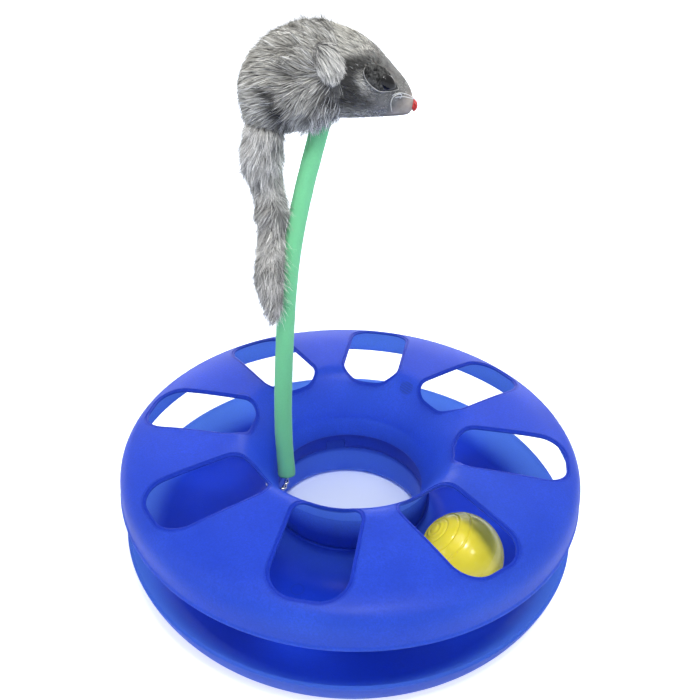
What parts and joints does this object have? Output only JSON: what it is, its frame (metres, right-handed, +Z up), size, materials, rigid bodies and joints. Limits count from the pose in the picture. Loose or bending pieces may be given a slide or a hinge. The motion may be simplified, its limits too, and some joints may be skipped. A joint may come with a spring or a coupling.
{
  "type": "cat ball track toy",
  "caption": "Ring-shaped cat toy track with windows and a loose ball, and a springy foam-covered wand that holds up a fur mouse with a swinging tail.",
  "frame": {"origin": "middle of the ring, on the surface that the toy rests on", "axes": "+Z up; -Y is the side that the picture looks at, with the mouse's nose towards +X"},
  "size_m": [0.2412, 0.2412, 0.2562],
  "materials": {
    "blue_plastic": "frosted, slightly see-through moulded polypropylene",
    "yellow_plastic": "glossy moulded plastic",
    "steel_wire": "bright drawn spring wire",
    "green_foam": "matt closed-cell foam tube",
    "grey_fur": "short grey pile with pale tips and a dark undercoat",
    "ear_fur": "pale pile",
    "eye_drop": "dark glossy plastic",
    "eye_bead_black": "black gloss",
    "red_thread": "red stitched thread",
    "white_nylon": "thin white nylon"
  },
  "bodies": {
    "base": {"upper_shell": "blue_plastic", "lower_shell": "blue_plastic"},
    "ball": {"track_ball": "yellow_plastic"},
    "hook": {"wire_hook": "steel_wire"},
    "wand": {"wire_strand_a": "steel_wire", "wire_strand_b": "steel_wire", "foam_sleeve": "green_foam", "mouse_body": "grey_fur", "mouse_head": "grey_fur", "ear_right": "ear_fur", "ear_left": "ear_fur", "eye_patch_right": "eye_drop", "eye_patch_left": "eye_drop", "eye_bead_right": "eye_bead_black", "eye_bead_left": "eye_bead_black", "nose": "red_thread", "whisker_right_1": "white_nylon", "whisker_right_2": "white_nylon", "whisker_right_3": "white_nylon", "whisker_left_1": "white_nylon", "whisker_left_2": "white_nylon", "whisker_left_3": "white_nylon"},
    "tail_root": {"tail_root": "grey_fur"},
    "tail_middle": {"tail_middle": "grey_fur"},
    "tail_tip": {"tail_tip": "grey_fur"}
  },
  "joints": [
    {"name": "ball_orbit", "type": "hinge", "parent": "base", "child": "ball", "pos_m": [0, 0, 0.0236], "axis": [0, 0, 1], "continuous": true},
    {"name": "wand_lean", "type": "hinge", "parent": "base", "child": "hook", "pos_m": [-0.04074, -0.00978, 0.0282], "axis": [0.2334, -0.9724, 0], "range_deg": [-20, 2], "stiffness_Nm_per_rad": 0.6},
    {"name": "wand_sway", "type": "hinge", "parent": "hook", "child": "wand", "pos_m": [-0.04074, -0.00978, 0.0282], "axis": [-0.9724, -0.2334, 0], "range_deg": [-14, 10], "stiffness_Nm_per_rad": 0.6},
    {"name": "tail_swing", "type": "hinge", "parent": "wand", "child": "tail_root", "pos_m": [-0.047, 0.041, 0.206], "axis": [0, 1, 0], "range_deg": [0, 35]},
    {"name": "tail_bend", "type": "hinge", "parent": "tail_root", "child": "tail_middle", "pos_m": [-0.045, 0.0396, 0.1786], "axis": [-1, 0, 0], "range_deg": [0, 30]},
    {"name": "tail_tip_swing", "type": "hinge", "parent": "tail_middle", "child": "tail_tip", "pos_m": [-0.0439, 0.0286, 0.151], "axis": [0, 1, 0], "range_deg": [0, 35]}
  ]
}
